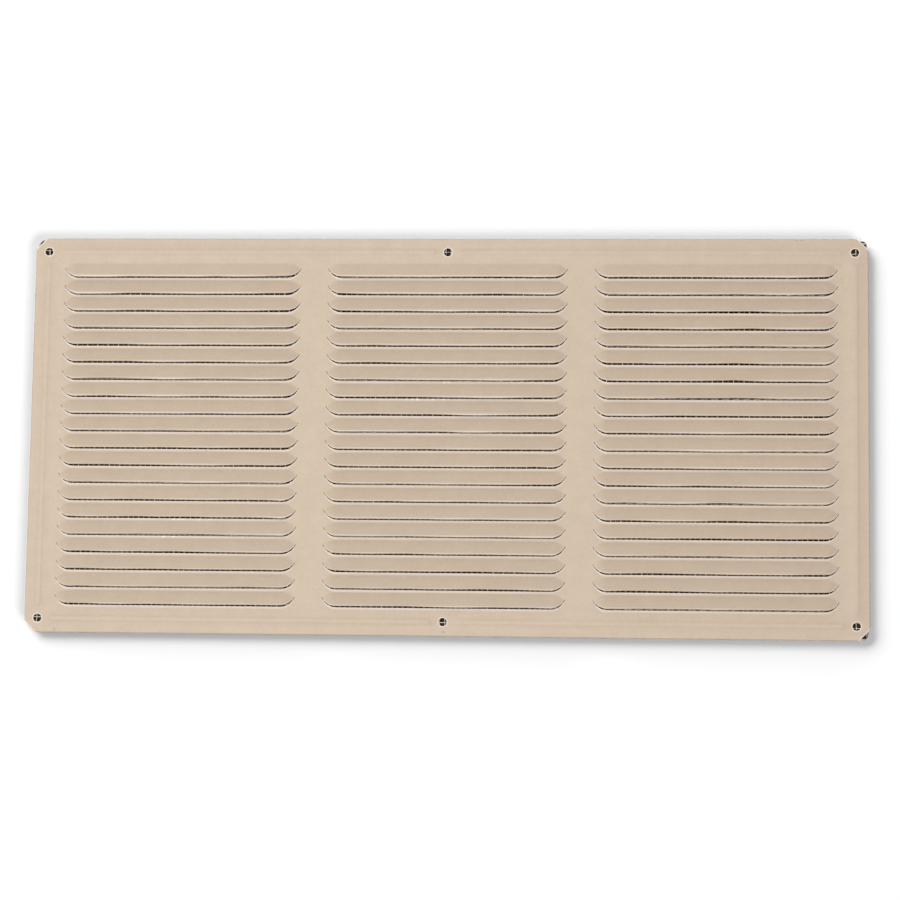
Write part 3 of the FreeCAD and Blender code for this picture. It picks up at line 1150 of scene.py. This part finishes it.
@dataclass
class WireCloth:
    """Plain-woven wire cloth. In millimetres."""

    half_length: float
    half_height: float
    middle: float
    corner_cuts: Sequence[Cut]
    skew: float = math.radians(0.2)
    wire_radius: float = 0.2
    pitch: float = 2.54
    wires_along: int = 76
    wires_across: int = 160
    wire_sides: int = 4
    lead_pitches: float = 2.25
    smooth_angle: float = math.radians(95)

    def weave(self, run: Run, finish: bpy.types.Material) -> bpy.types.Object:
        """Weave the wires that run one way, each over and under those that run the other way.

        Args:
            run: The way that the wires run.
            finish: The wires' material.

        Returns:
            The finished piece.
        """
        if run is Run.ALONG:
            ahead, aside, turned = Vector((1, 0, 0)), Vector((0, 1, 0)), (0, math.pi / 2, 0)
            half, count, crossed, lift = self.half_length, self.wires_along, self.wires_across, 1
        else:
            ahead, aside, turned = Vector((0, 1, 0)), Vector((1, 0, 0)), (math.pi / 2, 0, 0)
            half, count, crossed, lift = self.half_height, self.wires_across, self.wires_along, -1
        bench = Bench(f"screen_wires_{run.value}")
        step = ahead * self.pitch / 2
        rise = UP * 2 * self.wire_radius * lift
        first_crossing = -(crossed - 1) / 2 * self.pitch
        start = ahead * (first_crossing - self.pitch * self.lead_pitches)
        start += UP * (self.middle + self.wire_radius * lift)
        start -= aside * (count - 1) / 2 * self.pitch
        bpy.ops.mesh.primitive_circle_add(
            vertices=self.wire_sides,
            radius=self.wire_radius,
            location=start,
            rotation=turned,
        )
        bpy.ops.mesh.select_mode(type="EDGE")
        for offset in (step, step - rise, step, step + rise):
            bench.sweep(offset)
        bench.repeat(crossed // 2 + 2, ahead * 2 * self.pitch)
        bench.pick_all()
        bpy.ops.mesh.duplicate()
        bench.move(aside * self.pitch + ahead * self.pitch)
        for end in (ahead, -ahead):
            bench.pick_all()
            bench.trim(end * half, end, capped=True)
        bench.repeat(count // 2, aside * 2 * self.pitch)
        bench.twist(self.skew)
        for point, outward in self.corner_cuts:
            bench.pick_all()
            bench.trim(point, outward, capped=True)
        bench.pick_all()
        bpy.ops.mesh.normals_make_consistent(inside=False)
        bench.piece.data.materials.append(finish)
        return bench.close(self.smooth_angle)


@dataclass(frozen=True)
class Lamp:
    """A soft oval lamp that is aimed at the middle of the sheet, in metres and watts."""

    name: str
    place: tuple[float, float, float]
    size: tuple[float, float]
    power: float

    def hang(self) -> bpy.types.Object:
        """Hang the lamp, out of the camera's sight.

        Returns:
            The lamp.
        """
        light = bpy.data.lights.new(self.name, "AREA")
        light.energy = self.power
        light.shape = "ELLIPSE"
        light.size, light.size_y = self.size
        lamp = bpy.data.objects.new(self.name, light)
        lamp.location = self.place
        lamp.rotation_euler = (-Vector(self.place)).to_track_quat("-Z", "Y").to_euler()
        lamp.visible_camera = False
        bpy.context.scene.collection.objects.link(lamp)
        return lamp


@dataclass
class Studio:
    """The floor, the light and the camera. In metres."""

    card_half: tuple[float, float]
    card_cuts: Sequence[Cut]
    floor_half: tuple[float, float] = (3.0, 3.0)
    floor_level: float = -0.0002
    card_level: float = -0.0001
    sky_strength: float = 0.4
    camera_place: tuple[float, float, float] = (0.08526, -0.15233, 1.2227)
    camera_turn: tuple[float, float, float] = (0.1192, 0.06608, 0.01433)
    focal_pixels: float = 2552.8
    frame_pixels: float = 900.0
    sensor: float = 36.0

    def lay_sheet(
        self,
        name: str,
        finish: StagePaper,
        half: tuple[float, float],
        level: float,
        cuts: Sequence[Cut] = (),
    ) -> bpy.types.Object:
        """Lay one flat sheet of the stage.

        Args:
            name: The sheet's name.
            finish: Its paper.
            half: Half its length and half its width.
            level: Its height.
            cuts: The planes that its corners are cut off at.

        Returns:
            The sheet.
        """
        bpy.ops.object.select_all(action="DESELECT")
        bpy.ops.mesh.primitive_plane_add(size=2.0)
        sheet = bpy.context.active_object
        sheet.name = name
        bpy.ops.object.mode_set(mode="EDIT")
        bpy.ops.transform.resize(value=(*half, 1))
        bpy.ops.transform.translate(value=(0, 0, level))
        for point, outward in cuts:
            bpy.ops.mesh.select_all(action="SELECT")
            bpy.ops.mesh.bisect(plane_co=point * MM, plane_no=outward, clear_outer=True)
        bpy.ops.object.mode_set(mode="OBJECT")
        sheet.data.materials.append(finish.make())
        return sheet

    def set_stage(self) -> None:
        """Lay the floor, with low lamps of its own for a soft shadow, and a dark card behind the screen,
        which paints shade into the slits, the screw holes and the clipped corners.
        """
        floor = self.lay_sheet("floor", PALE_FLOOR, self.floor_half, self.floor_level)
        floor_only = bpy.data.collections.new("floor_only")
        floor_only.objects.link(floor)
        for lamp in FLOOR_LAMPS:
            lamp.hang().light_linking.receiver_collection = floor_only
        # Painted shade: a dark card under the screen darkens the slits, holes and clipped corners
        self.lay_sheet("shade_backing_card", SHADE_CARD, self.card_half, self.card_level, self.card_cuts)

    def light(self) -> None:
        """Hang one broad soft lamp over the sheet and brighten the sky."""
        KEY_LAMP.hang()
        world = bpy.data.worlds.new("sky")
        world.use_nodes = True
        back = world.node_tree.nodes["Background"]
        back.inputs["Color"].default_value = (1.0, 1.0, 1.0, 1.0)
        back.inputs["Strength"].default_value = self.sky_strength
        bpy.context.scene.world = world
        bpy.context.scene.view_settings.view_transform = "Standard"

    def aim_camera(self) -> None:
        """Set the camera at the photograph's viewing angle."""
        camera = bpy.data.cameras.new("camera")
        camera.sensor_width = self.sensor
        camera.lens = self.focal_pixels / self.frame_pixels * self.sensor
        holder = bpy.data.objects.new("camera", camera)
        holder.location = self.camera_place
        holder.rotation_euler = self.camera_turn
        bpy.context.scene.collection.objects.link(holder)
        bpy.context.scene.camera = holder


WASH_COAT = BakedEnamel("wash_coat", (0.55, 0.52, 0.47), 0.5, mottle=0.1, peel=1.0)
CUT_EDGE = BareMetal("cut_edge", (0.86, 0.77, 0.65), 0.35, contrast=0.4)
SCREEN_WIRE = BareMetal("screen_wire", (0.76, 0.7, 0.62), 0.38, contrast=0.5)
PALE_FLOOR = StagePaper("pale_floor", (0.07, 0.07, 0.07), 0.9)
# Painted shade: near-black paper for the card under the screen
SHADE_CARD = StagePaper("painted_shade_card", (0.045, 0.032, 0.02), 0.95)
KEY_LAMP = Lamp("key", (-0.3, 0.0, 1.5), (1.2, 1.2), 20.4)
FLOOR_LAMPS = (
    Lamp("low_left", (-4.2, 4.2, 1.5), (8.0, 2.5), 16800.0),
    Lamp("low_right", (4.2, -4.2, 1.5), (8.0, 2.5), 9400.0),
)
# Scratches, nicks and specks on the face
ENAMEL_MARKS = (
    Mark((154.0, 84.5), (190.0, 83.8), 0.3, 0.25),
    Mark((189.9, 78.2), (190.9, 72.8), 0.4, 0.2),
    Mark((141.9, 13.7), (142.1, 13.7), 0.5, 0.6),
    Mark((168.4, 96.0), (168.9, 96.0), 0.5, 0.5),
    Mark((170.8, 96.1), (171.3, 96.1), 0.5, 0.5),
    Mark((-188.5, -95.4), (-188.0, -95.4), 0.6, 0.55),
    Mark((0.1, -94.7), (0.8, -94.7), 0.6, 0.5),
)
# The rows of slits that have painted glints, bright spots of painted highlight, counted from the top: each
# glint's place along the sheet and its strength
GLINT_ROWS = {
    6: ((-0.9, 0.8), (1.3, 0.8)),
    7: ((-19.2, 0.6), (-16.4, 0.9), (-13.8, 1.0), (-6.3, 0.8), (-1.1, 0.7)),
    14: ((-131.4, 1.0), (-128.9, 1.0), (-126.8, 0.6), (-118.9, 0.6), (-114.0, 0.6)),
    15: ((-136.1, 1.0), (-131.2, 0.8)),
}
# Each corner's direction, and how far the cloth reaches past the sheet's clip there
CORNER_REACHES = (((1, 1), 1.6), ((-1, 1), 1.1), ((-1, -1), -0.8), ((1, -1), 1.5))


def screw_pattern() -> tuple[float, float, float]:
    """Read the corner screws' places from the part's record.

    Returns:
        Half their spacing along and across, and the holes' radius, in millimetres.
    """
    sizes = next(mount["dims"] for mount in frame["record"]["mounts"] if mount["name"] == "corner_screws")
    return sizes["spacing_x_mm"] / 2, sizes["spacing_y_mm"] / 2, sizes["hole_r_mm"]


def cut_corners(sheet: LouverSheet, spare: float) -> list[Cut]:
    """Give the planes that cut off the corners of what lies behind the sheet, near the sheet's clips.

    Args:
        sheet: The sheet.
        spare: What each corner keeps besides its own reach, in millimetres.

    Returns:
        A point on each plane and its normal.
    """
    half_clip = sheet.corner_clip / 2
    cuts = []
    for (x, y), reach in CORNER_REACHES:
        outward = Vector((x, y, 0)).normalized()
        clip = Vector((x * (sheet.half_length - half_clip), y * (sheet.half_height - half_clip), 0))
        cuts.append((clip + outward * (reach + spare), outward))
    return cuts


def add_piece(piece: bpy.types.Object, node: str) -> None:
    """Put a finished piece in its CAD node's place.

    Args:
        piece: The piece.
        node: The CAD node that it replaces.
    """
    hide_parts(node)
    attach(piece, BODY)
    LOG.info("%s has %d faces", piece.name, len(piece.data.polygons))


def build_sheet(lines: bpy.types.NodeTree) -> LouverSheet:
    """Build and dress the louvered sheet.

    Args:
        lines: The effect of drawn or sheared metal.

    Returns:
        The sheet's sizes.
    """
    _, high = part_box("louver_panel")
    sheet = LouverSheet(high.x / MM, high.y / MM, *screw_pattern())
    grain = make_grain()
    enamel = FaceEnamel(
        name="tan_enamel",
        colour=(0.567, 0.457, 0.352),
        roughness=0.5,
        mottle=0.11,
        peel=1.0,
        face=sheet.face,
        marks=ENAMEL_MARKS,
        # Painted highlights: near-white glints below some slits
        glints=sheet.slit_glints(),
    )
    front = enamel.make_face(grain, make_mark(), make_edge_wear_and_highlight(sheet))
    piece = sheet.build((front, WASH_COAT.make(grain), CUT_EDGE.make(lines)))
    add_piece(piece, "louver_panel")
    return sheet


def build_cloth(sheet: LouverSheet, lines: bpy.types.NodeTree) -> None:
    """Build and dress the wire cloth, in one layer for each way that its wires run.

    Args:
        sheet: The sheet that holds the cloth.
        lines: The effect of drawn or sheared metal.
    """
    low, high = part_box("insect_screen")
    cloth = WireCloth(
        half_length=high.x / MM - CLOTH_INSET,
        half_height=high.y / MM - CLOTH_INSET,
        middle=(low.z + high.z) / 2 / MM,
        corner_cuts=cut_corners(sheet, 0.0),
    )
    finish = SCREEN_WIRE.make(lines)
    for run in Run:
        add_piece(cloth.weave(run, finish), "insect_screen")


def main() -> None:
    """Build the vent's pieces and the studio."""
    logging.basicConfig(level=logging.INFO, format="%(name)s: %(message)s")
    lines = make_draw_lines()
    sheet = build_sheet(lines)
    build_cloth(sheet, lines)
    studio = Studio((sheet.flat_x * MM, sheet.flat_y * MM), cut_corners(sheet, CARD_SPARE))
    studio.set_stage()
    studio.light()
    studio.aim_camera()


if __name__ == "__main__":
    main()
